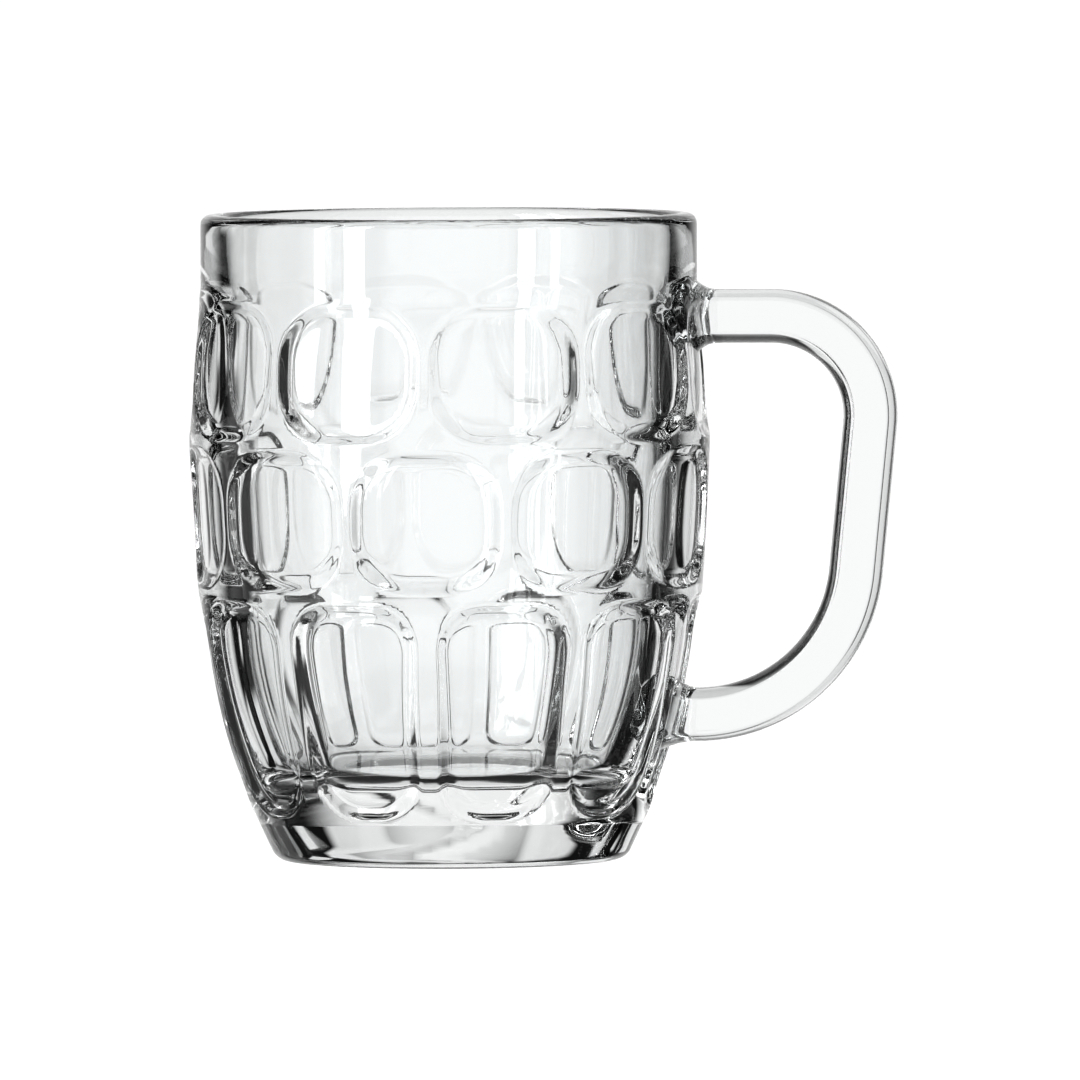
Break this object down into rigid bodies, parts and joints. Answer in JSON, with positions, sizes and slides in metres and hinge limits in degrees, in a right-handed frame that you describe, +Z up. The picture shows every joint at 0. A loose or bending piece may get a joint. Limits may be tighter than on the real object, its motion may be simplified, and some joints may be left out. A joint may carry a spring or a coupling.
{
  "type": "dimpled glass beer mug",
  "caption": "Barrel-shaped clear glass beer mug with a plain rim band, staggered rows of pressed dimples over tall panels, a heavy base and a fused D-shaped handle.",
  "frame": {"origin": "centre of the foot on the mug's axis, at the level of the surface it stands on", "axes": "+Z up along the mug's axis, +X from the axis towards the handle, +Y to the left of the handle seen from outside the handle"},
  "size_m": [0.1406, 0.1034, 0.128],
  "materials": {
    "clear_glass": "clear soda-lime glass, pressed and fire-polished"
  },
  "bodies": {
    "root": {"mug_body": "clear_glass", "handle": "clear_glass"}
  },
  "joints": []
}
